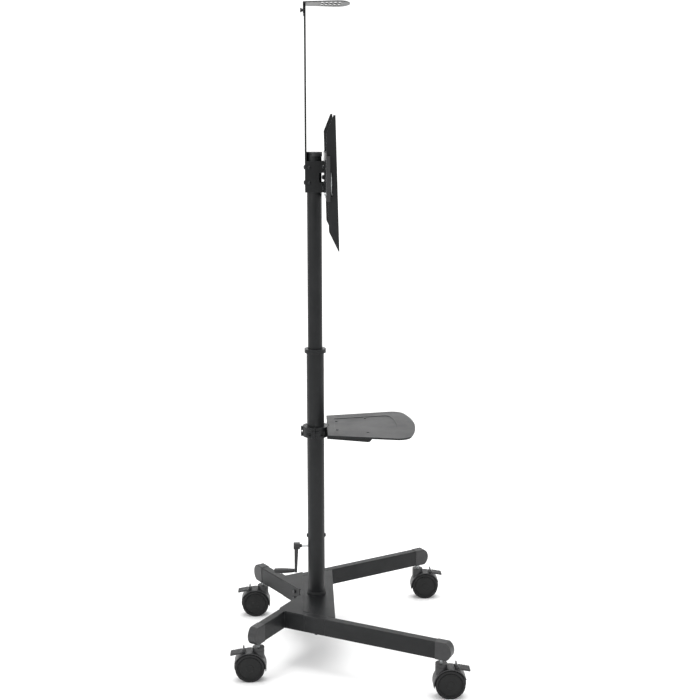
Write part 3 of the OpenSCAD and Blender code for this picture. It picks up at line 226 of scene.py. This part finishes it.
# Caster stems: M10 threaded rods, zinc plated, turned into the caps' sockets
# and locked by a chamfered nut. The thread is rolled at 1.5 mm pitch.
stem_radius, stem_low, stem_high = 0.0050, 0.101, 0.163
thread_pitch, thread_depth = 0.0015, 0.0006
nut_bore, nut_radius, nut_low, nut_high, chamfer = 0.0047, 0.0095, 0.1278, 0.1338, 0.0009
caster_spots = {joint["name"].removeprefix("swivel_"): joint["pos_m"][:2]
                for joint in frame["joints"] if joint["name"].startswith("swivel_")}
up = (0.0, 0.0, 1.0)
hexagonal = True


def hexagon_reach(angle):
    """How far a hexagon with corners at distance 1 reaches at an angle."""
    half_side = math.pi / 6
    return math.cos(half_side) / math.cos(angle % (2 * half_side) - half_side)


def turned(name, rings, sides):
    """A closed mesh turned about Z from rings: (radius, height), or (radius, height, hexagonal)."""
    work = bmesh.new()
    loops = []
    for radius, height, *mark in rings:
        if radius == 0.0:
            loops.append([work.verts.new((0.0, 0.0, height))])
            continue
        loop = []
        for i in range(sides):
            angle = 2 * math.pi * i / sides
            reach = radius * hexagon_reach(angle) if mark else radius
            loop.append(work.verts.new((reach * math.cos(angle), reach * math.sin(angle), height)))
        loops.append(loop)
    for low, high in zip(loops[:-1], loops[1:]):
        for i in range(sides):
            k = (i + 1) % sides
            if len(low) == 1:
                work.faces.new((low[0], high[k], high[i]))
            elif len(high) == 1:
                work.faces.new((low[i], low[k], high[0]))
            else:
                work.faces.new((low[i], low[k], high[k], high[i]))
    for loop in (loops[0], loops[-1]):
        if len(loop) > 1:
            work.faces.new(loop)
    return finished_mesh(name, work)


def finished_mesh(name, work):
    """The worked shape as a mesh, its normals outward."""
    bmesh.ops.recalc_face_normals(work, faces=work.faces)
    mesh = bpy.data.meshes.new(name)
    work.to_mesh(mesh)
    work.free()
    return mesh


def dots(name, spots):
    """Points to set pieces on: (place, way) pairs, way being where a piece's Z goes."""
    mesh = bpy.data.meshes.new(name)
    mesh.from_pydata([spot for spot, way in spots], [], [])
    ways = mesh.attributes.new("way", "FLOAT_VECTOR", "POINT")
    for i, (spot, way) in enumerate(spots):
        ways.data[i].vector = way
    return mesh


def kept(name, mesh, body, smooth_angle):
    """One plain piece that rides on a body, its sharp edges kept."""
    mesh.set_sharp_from_angle(angle=math.radians(smooth_angle))
    mesh.polygons.foreach_set("use_smooth", [True] * len(mesh.polygons))
    piece = bpy.data.objects.new(name, mesh)
    bpy.context.collection.objects.link(piece)
    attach(piece, body)
    return piece


def grown(name, start, tree, sizes, body, smooth_angle=40):
    """Runs a node tree on a mesh and keeps the result as one piece."""
    seed = bpy.data.objects.new(name + "_start", start)
    bpy.context.collection.objects.link(seed)
    live = seed.modifiers.new("grow", "NODES")
    live.node_group = tree
    for socket in tree.interface.items_tree:
        if socket.item_type == "SOCKET" and socket.in_out == "INPUT" and socket.name in sizes:
            live[socket.identifier] = sizes[socket.name]
    seed.update_tag()
    bpy.context.view_layer.update()
    ready = seed.evaluated_get(bpy.context.evaluated_depsgraph_get())
    mesh = bpy.data.meshes.new_from_object(ready)
    mesh.name = name
    seed.modifiers.remove(live)
    bpy.data.objects.remove(seed)
    return kept(name, mesh, body, smooth_angle)


def tree_with(name, *inputs):
    """A geometry node tree with a geometry input and output and the named inputs."""
    tree = bpy.data.node_groups.new(name, "GeometryNodeTree")
    tree.interface.new_socket("Geometry", in_out="INPUT", socket_type="NodeSocketGeometry")
    for label, kind in inputs:
        tree.interface.new_socket(label, in_out="INPUT", socket_type="NodeSocket" + kind)
    tree.interface.new_socket("Geometry", in_out="OUTPUT", socket_type="NodeSocketGeometry")
    return tree, tree.nodes.new("NodeGroupInput").outputs, tree.nodes.new("NodeGroupOutput")


def close_tree(tree, given, out, shapes):
    """Ends a tree: real geometry with its finish set."""
    real = add(tree, "GeometryNodeRealizeInstances", links={"Geometry": shapes})
    coated = add(tree, "GeometryNodeSetMaterial",
                 links={"Geometry": real.outputs[0], "Material": given["Finish"]})
    tree.links.new(coated.outputs[0], out.inputs["Geometry"])


# The rod tree stands a round core with a spiral ridge on every point.
rods, given, out = tree_with("threaded rods", ("Core Radius", "Float"), ("Ridge", "Float"),
                             ("Pitch", "Float"), ("Length", "Float"), ("Finish", "Material"))
turns = add(rods, "ShaderNodeMath", {"operation": "DIVIDE"},
            {0: given["Length"], 1: given["Pitch"]})
helix = add(rods, "GeometryNodeCurveSpiral", {"Resolution": 20},
            {"Rotations": turns.outputs[0], "Start Radius": given["Core Radius"],
             "End Radius": given["Core Radius"], "Height": given["Length"]})
cutter = add(rods, "GeometryNodeCurvePrimitiveCircle", {"Resolution": 4},
             {"Radius": given["Ridge"]})
ridge = add(rods, "GeometryNodeCurveToMesh", {"Fill Caps": True},
            {"Curve": helix.outputs[0], "Profile Curve": cutter.outputs[0]})
core = add(rods, "GeometryNodeMeshCylinder", {"Vertices": 32},
           {"Radius": given["Core Radius"], "Depth": given["Length"]})
half = add(rods, "ShaderNodeMath", {"operation": "MULTIPLY", 1: 0.5}, {0: given["Length"]})
lift = add(rods, "ShaderNodeCombineXYZ", links={"Z": half.outputs[0]})
raised = add(rods, "GeometryNodeTransform",
             links={"Geometry": core.outputs["Mesh"], "Translation": lift.outputs[0]})
rod = add(rods, "GeometryNodeJoinGeometry", links={0: ridge.outputs[0]})
rods.links.new(raised.outputs[0], rod.inputs[0])
set_rods = add(rods, "GeometryNodeInstanceOnPoints",
               links={"Points": given["Geometry"], "Instance": rod.outputs[0]})
close_tree(rods, given, out, set_rods.outputs[0])

# The screw tree sets a turned screw on every point, its Z along the point's
# way, each left at its own angle as a hand driver leaves it.
screws, given, out = tree_with("driven screws", ("Screw", "Object"), ("Seed", "Int"),
                               ("Finish", "Material"))
pattern = add(screws, "GeometryNodeObjectInfo", {"As Instance": True}, {"Object": given["Screw"]})
way = add(screws, "GeometryNodeInputNamedAttribute", {"data_type": "FLOAT_VECTOR", "Name": "way"})
aim = add(screws, "FunctionNodeAlignRotationToVector", {"axis": "Z"}, {"Vector": way.outputs[0]})
chance = add(screws, "FunctionNodeRandomValue", {"data_type": "FLOAT", 3: 2 * math.pi},
             {"Seed": given["Seed"]})
spin = add(screws, "FunctionNodeAxisAngleToRotation", {"Axis": up}, {"Angle": chance.outputs[1]})
driven = add(screws, "FunctionNodeRotateRotation", {"rotation_space": "LOCAL"},
             {"Rotation": aim.outputs[0], "Rotate By": spin.outputs[0]})
set_screws = add(screws, "GeometryNodeInstanceOnPoints",
                 links={"Points": given["Geometry"], "Instance": pattern.outputs["Geometry"],
                        "Rotation": driven.outputs[0]})
close_tree(screws, given, out, set_screws.outputs[0])


def screw_set(name, rings, spots, body, finish, seed, sides=36):
    """Turns one screw from its rings and drives it in at every spot."""
    pattern = bpy.data.objects.new(name + "_pattern", turned(name + "_pattern", rings, sides))
    bpy.context.collection.objects.link(pattern)
    piece = grown(name, dots(name, spots), screws,
                  {"Screw": pattern, "Seed": seed, "Finish": finish}, body)
    bpy.data.objects.remove(pattern)
    return piece


stem_threads = grown("stem_threads",
                     dots("stems", [((x, y, stem_low), up) for x, y in caster_spots.values()]),
                     rods, {"Core Radius": stem_radius - thread_depth, "Ridge": thread_depth,
                            "Pitch": thread_pitch, "Length": stem_high - stem_low,
                            "Finish": zinc}, "base")
nut_rings = [(nut_bore, nut_low), (nut_radius - 2 * chamfer, nut_low),
             (nut_radius, nut_low + chamfer, hexagonal),
             (nut_radius, nut_high - chamfer, hexagonal),
             (nut_radius - 2 * chamfer, nut_high), (nut_bore, nut_high)]
screw_set("stem_nuts", nut_rings, [((x, y, 0.0), up) for x, y in caster_spots.values()],
          "base", zinc, 3)
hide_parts("caster_stems")

# Casters: twin 100 mm wheels on one axle, each a moulded disc with a tyre of
# black polyurethane cast round it, under a moulded hood. The wheel's tread
# is turned smooth and dulls with dust; the disc has a dished face.
tyre_rubber, tree = new_material("cast polyurethane tyre")
dust = noise(tree, 0.012, 6.0, 0.7)
close_material(tree, {"Roughness": 0.62, "Specular IOR Level": 0.35},
               {"Base Color": blend(tree, dust, "#0e0e0f", "#1d1d1e", 0.4, 0.85)})
disc_plastic, tree = new_material("moulded wheel disc")
flow = noise(tree, 0.018, 4.0)
close_material(tree, {"Roughness": 0.5, "IOR": 1.45, "Specular IOR Level": 0.35},
               {"Base Color": blend(tree, flow, "#070808", "#101111"),
                "Normal": skin_of(tree, noise(tree, 0.0015, 2.0), 0.15, 0.0002)})

# Rings of one wheel, its width going from inner to outer. The tyre's shoulder
# is listed as drop below the tread and distance from the tyre's side; the
# disc's face as radius and depth below the outer side.
wheel_radius, disc_radius, inner, outer = 0.0499, 0.0405, 0.0056, 0.0249
shoulder = [(0.0029, 0.0), (0.0011, 0.0006), (0.0002, 0.0020), (0.0, 0.0045)]
tyre_rings = [(disc_radius, inner)]
tyre_rings += [(wheel_radius - drop, inner + inset) for drop, inset in shoulder]
tyre_rings += [(wheel_radius - drop, outer - inset) for drop, inset in reversed(shoulder)]
tyre_rings += [(0.0420, outer), (0.0412, outer - 0.0010), (disc_radius, outer - 0.0022)]
disc_face = [(0.0404, 0.0026), (0.0396, 0.0008), (0.0386, 0.0004), (0.0374, 0.0010),
             (0.0366, 0.0022), (0.0300, 0.0020), (0.0200, 0.0015), (0.0135, 0.0012),
             (0.0127, 0.0004), (0.0, 0.0002)]
disc_rings = [(0.0, inner), (disc_face[0][0], inner)]
disc_rings += [(radius, outer - depth) for radius, depth in disc_face]
axle_radius, axle_half, axle_height, trail = 0.0049, 0.0060, 0.050, 0.029
axle_rings = [(0.0, -axle_half), (axle_radius, -axle_half), (axle_radius, axle_half),
              (0.0, axle_half)]
for spot, (x, y) in caster_spots.items():
    centre = (x + (trail if spot.startswith("front") else -trail), y, axle_height)
    both = [(centre, (0.0, 1.0, 0.0)), (centre, (0.0, -1.0, 0.0))]
    body = "wheels_" + spot
    tyres = screw_set("tyres_" + spot, tyre_rings, both, body, tyre_rubber, 5, 72)
    screw_set("discs_" + spot, disc_rings, both, body, disc_plastic, 5, 72)
    screw_set("axle_" + spot, axle_rings, both[:1], body, zinc, 5)
    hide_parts("wheels_" + spot)
    finish_with(moulded, "hood_" + spot, "pedal_" + spot)

# Column: 60 mm tube welded into a turned foot, screwed down from below. A
# gas-welded bead runs round the joint, its ripples about 2 mm apart, and
# takes the same coat as the tube.
finish_with(powder_coat, "column_foot", "column_tube", "collar")
ripple, bead_step, circle_steps, weld_angle = 0.0021, 0.0005, 96, 60
beads, given, out = tree_with("weld beads", ("Bead Radius", "Float"), ("Ripple", "Float"),
                              ("Seed", "Float"), ("Finish", "Material"))
path = add(beads, "GeometryNodeMeshToCurve", links={"Mesh": given["Geometry"]})
fine = add(beads, "GeometryNodeResampleCurve", {"mode": "LENGTH", "Length": bead_step},
           {"Curve": path.outputs[0]})
along = add(beads, "GeometryNodeSplineParameter")
phase = add(beads, "ShaderNodeMath", {"operation": "DIVIDE"},
            {0: along.outputs["Length"], 1: given["Ripple"]})
angle = add(beads, "ShaderNodeMath", {"operation": "MULTIPLY", 1: 2 * math.pi},
            {0: phase.outputs[0]})
wave = add(beads, "ShaderNodeMath", {"operation": "SINE"}, {0: angle.outputs[0]})
lumps = add(beads, "ShaderNodeTexNoise", {"noise_dimensions": "4D", "Scale": 1 / 0.004},
            {"W": given["Seed"]})
swell = add(beads, "ShaderNodeMath", {"operation": "MULTIPLY_ADD", 1: 0.14, 2: 0.78},
            {0: wave.outputs[0]})
size = add(beads, "ShaderNodeMath", {"operation": "MULTIPLY_ADD", 1: 0.4},
           {0: lumps.outputs[0], 2: swell.outputs[0]})
thick = add(beads, "ShaderNodeMath", {"operation": "MULTIPLY"},
            {0: size.outputs[0], 1: given["Bead Radius"]})
ring = add(beads, "GeometryNodeCurvePrimitiveCircle", {"Resolution": 8, "Radius": 1.0})
bead = add(beads, "GeometryNodeCurveToMesh", {"Fill Caps": True},
           {"Curve": fine.outputs[0], "Profile Curve": ring.outputs[0],
            "Scale": thick.outputs[0]})
close_tree(beads, given, out, bead.outputs[0])


def seam_lines(name, lines):
    """Edges to weld along: each line is a list of points, closed where it ends on its start."""
    corners, edges = [], []
    for line in lines:
        closed = line[0] == line[-1]
        first = len(corners)
        points = line[:-1] if closed else line
        corners += points
        edges += [(first + i, first + i + 1) for i in range(len(points) - 1)]
        if closed:
            edges.append((len(corners) - 1, first))
    mesh = bpy.data.meshes.new(name)
    mesh.from_pydata(corners, edges, [])
    return mesh


def circle_line(radius, height):
    """A closed line round the column."""
    turns = [2 * math.pi * i / circle_steps for i in range(circle_steps)]
    line = [(radius * math.cos(turn), radius * math.sin(turn), height) for turn in turns]
    return line + line[:1]


tube_seam, foot_seam = circle_line(0.0302, 0.2070), circle_line(0.0327, 0.1955)
grown("foot_weld", seam_lines("foot_weld", [tube_seam, foot_seam]), beads,
      {"Bead Radius": 0.0013, "Ripple": ripple, "Seed": 2.0, "Finish": powder_coat},
      "base", weld_angle)

# Screws that hold the gear housing in the tube: M8 button heads with a hex
# socket, blackened. The dome is forged and the socket is punched.
head_radius, head_height, socket_radius = 0.0075, 0.0044, 0.0029
tube_radius, housing_height, m8_radius, housing_shank = 0.0300, 0.413, 0.0039, 0.0185


def button_head(shank_radius, shank):
    """Rings of a button screw, its seat at height 0 and its shank below."""
    end_chamfer, rim = 0.0006, 0.0004
    dome = [(0.96, 0.35), (0.84, 0.66), (0.66, 0.89)]
    rings = [(0.0, -shank), (shank_radius - end_chamfer, -shank),
             (shank_radius, -shank + end_chamfer), (shank_radius, 0.0),
             (head_radius - 0.0003, 0.0), (head_radius, rim)]
    rings += [(head_radius * out, head_height * rise) for out, rise in dome]
    return rings + [(socket_radius + 0.0008, head_height * 0.99),
                    (socket_radius, head_height * 0.97, hexagonal),
                    (socket_radius * 0.98, head_height * 0.45, hexagonal),
                    (0.0, head_height * 0.36)]


housing_spots = [((side * tube_radius, 0.0, housing_height), (side, 0.0, 0.0))
                 for side in (-1.0, 1.0)]
gear_bolt_heads = screw_set("gear_bolt_heads", button_head(m8_radius, housing_shank),
                            housing_spots, "base", black_oxide, 7)
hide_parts("gear_bolts")

# Lift works inside the tube: die-cast housing, bronze gears, washer and nut,
# acetal guides, and a lead screw rolled at 8 mm pitch. Casting skin is dull
# with a fine pebble; cut bronze keeps fine tool marks; acetal is milky.
cast_metal, tree = new_material("die-cast aluminium")
pebble = noise(tree, 0.0025, 4.0)
close_material(tree, {"Metallic": 1.0, "Roughness": 0.5},
               {"Base Color": blend(tree, pebble, "#8a8d8f", "#b4b6b7"),
                "Normal": skin_of(tree, pebble, 0.3, 0.0003)})
bronze, tree = new_material("cut bronze")
place = add(tree, "ShaderNodeTexCoord")
marks = add(tree, "ShaderNodeTexWave", {"Scale": 1 / 0.004, "Distortion": 1.5, "Detail": 2.0},
            {"Vector": place.outputs["Object"]})
close_material(tree, {"Metallic": 1.0, "Roughness": 0.34},
               {"Base Color": blend(tree, marks.outputs["Fac"], "#9a7b45", "#b99a5e")})
acetal, tree = new_material("moulded white acetal")
haze = noise(tree, 0.01, 3.0)
close_material(tree, {"Roughness": 0.35, "IOR": 1.48},
               {"Base Color": blend(tree, haze, "#dcdad2", "#ecebe6")})
finish_with(cast_metal, "gear_housing")
finish_with(bronze, "screw_gear", "crank_gear", "lift_nut", "thrust_washer")
finish_with(acetal, "guide_bush", "slide_ring")

screw_radius, screw_low, screw_high = 0.0069, 0.389, 0.9585
screw_ridge, screw_pitch = 0.0010, 0.008
collar_radius, collar_low, collar_high = 0.0119, 0.4361, 0.4421
low_chamfer, high_chamfer = 0.0009, 0.0007
lead_screw_thread = grown("lead_screw_thread", dots("lead", [((0.0, 0.0, screw_low), up)]), rods,
                          {"Core Radius": screw_radius, "Ridge": screw_ridge,
                           "Pitch": screw_pitch, "Length": screw_high - screw_low,
                           "Finish": zinc}, "screw")
collar_rings = [(screw_radius, collar_low), (collar_radius - low_chamfer, collar_low),
                (collar_radius, collar_low + high_chamfer),
                (collar_radius, collar_high - high_chamfer),
                (collar_radius - high_chamfer, collar_high), (screw_radius, collar_high)]
screw_set("lead_screw_collar", collar_rings, [((0.0, 0.0, 0.0), up)], "screw",
          zinc, 9)
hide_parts("lead_screw")

# Crank: moulded arm on the bright shaft, with a barrel grip that turns on a
# bright pin.
finish_with(moulded, "crank_arm", "crank_grip")
finish_with(zinc, "crank_shaft", "grip_pin")

# Upper tube and head: 50 mm tube with a moulded cap, a folded saddle, and the
# screen rail, all powder coated. Blackened button screws hold the strap to
# the tube, set screws press the cheeks, and hex bolts carry the rail.
finish_with(powder_coat, "mast_tube", "head_saddle", "head_rail")
finish_with(moulded, "mast_cap", "rail_caps")
rail_middle, screw_up = 1.6795, 0.0255
levels = (rail_middle + screw_up, rail_middle - screw_up)
strap_back, strap_shank = -0.0311, 0.0150
cheek_side, cheek_back, cheek_scale = 0.0280, -0.0170, 0.72
set_screw_radius, set_screw_length = 0.0052, 0.0078
backward = (-1.0, 0.0, 0.0)
strap_screws = screw_set("strap_screws", button_head(m8_radius, strap_shank),
                         [((strap_back, 0.0, z), backward) for z in levels], "mast",
                         black_oxide, 11)
cheek_rings = [(radius * cheek_scale, height * cheek_scale, *mark)
               for radius, height, *mark in button_head(set_screw_radius, set_screw_length)]
cheek_spots = [((cheek_back, side * cheek_side, z), (0.0, side, 0.0))
               for z in levels for side in (-1.0, 1.0)]
screw_set("cheek_screws", cheek_rings, cheek_spots, "mast", black_oxide, 13)
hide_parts("head_screws")


def hex_bolt(grip):
    """Rings of an M8 bolt: its head below height 0, its nut above the grip."""
    shank, face, seat, corner = 0.0040, 0.0060, 0.0062, 0.0075
    head_low, head_high, nut_high, tip = -0.0085, -0.0030, grip + 0.0065, grip + 0.0074
    return [(0.0, head_low), (face, head_low), (corner, head_low + 0.0008, hexagonal),
            (corner, head_high - 0.0001, hexagonal), (seat, head_high), (shank, head_high),
            (shank, grip), (seat, grip), (corner, grip + 0.0007, hexagonal),
            (corner, nut_high - 0.0007, hexagonal), (face, nut_high),
            (shank - 0.0001, nut_high), (shank - 0.0006, tip), (0.0, tip)]


rail_back, rail_grip, tab_side = 0.0360, 0.0030, 0.0410
tab_levels = (rail_middle + 0.0270, rail_middle - 0.0405)
web_level = rail_middle - 0.0080
rail_spots = [((rail_back, side * tab_side, z), backward) for side in (-1, 1) for z in tab_levels]
rail_spots.append(((rail_back, 0.0, web_level), backward))
rail_hex_bolts = screw_set("rail_hex_bolts", hex_bolt(rail_grip), rail_spots, "mast",
                           black_oxide, 17)
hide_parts("rail_bolts")

# Screen arms: folded channels of 2.5 mm sheet that hook over the rail. Inside
# each, a bright sprung latch leaf stands on the lock's bridge, in front of the
# rail, and shows through the slot in the arm's side as a narrow light lens.
finish_with(powder_coat, "arm_left", "arm_right")
finish_with(zinc, "arm_lock_left", "arm_lock_right")
leaf_length, leaf_thick, leaf_half_width = 0.074, 0.0056, 0.0148
leaf_corner, tip_half, leaf_steps = 0.0012, 0.0002, 32
leaf_x, leaf_z, arm_side = 0.0515, 1.6640, 0.200


def latch_leaf(name, arm_y):
    """A bowed leaf on edge: a lens from the side, with rounded corners along its edges."""
    work = bmesh.new()
    rows = []
    for i in range(leaf_steps + 1):
        along = -1 + 2 * i / leaf_steps
        thick = leaf_thick / 2 * (1 - along * along) + tip_half
        soft = min(thick, leaf_corner)
        outline = [(thick, leaf_half_width - soft),
                   (thick - soft * 0.3, leaf_half_width - soft * 0.3),
                   (thick - soft, leaf_half_width)]
        outline += [(-x, y) for x, y in reversed(outline)]
        outline += [(-x, -y) for x, y in outline]
        height = leaf_z + leaf_length / 2 * along
        rows.append([work.verts.new((leaf_x + x, arm_y + y, height)) for x, y in outline])
    for low, high in zip(rows[:-1], rows[1:]):
        for i in range(len(low)):
            k = (i + 1) % len(low)
            work.faces.new((low[i], low[k], high[k], high[i]))
    work.faces.new(rows[0])
    work.faces.new(rows[-1])
    bmesh.ops.remove_doubles(work, verts=work.verts, dist=1e-6)
    return finished_mesh(name, work)


for body, arm_y in (("arm_l", arm_side), ("arm_r", -arm_side)):
    mesh = latch_leaf("latch_leaf_" + body, arm_y)
    mesh.materials.append(zinc)
    kept("latch_leaf_" + body, mesh, body, 30)

# Camera strap, tray and knob: flat bar and slotted sheet, powder coated, held
# by a small moulded knob.
finish_with(powder_coat, "camera_strap", "camera_tray")
finish_with(moulded, "tray_knob")

# Shelf: pressed steel tray on two props, welded to a split clamp that two
# blackened screws close on the tube. A bead runs where each prop meets the
# clamp's root plate.
finish_with(powder_coat, "clamp_front", "clamp_rear", "shelf_tray")
finish_with(black_oxide, "clamp_bolts", "shelf_screws")
root_front, prop_side, weld_low, weld_high = 0.0440, 0.0455, 0.7800, 0.8100
prop_lines = [[(root_front, side * prop_side, z) for z in (weld_low, weld_high)]
              for side in (-1, 1)]
grown("prop_welds", seam_lines("prop_welds", prop_lines), beads,
      {"Bead Radius": 0.0014, "Ripple": ripple, "Seed": 5.0, "Finish": powder_coat},
      "shelf", weld_angle)
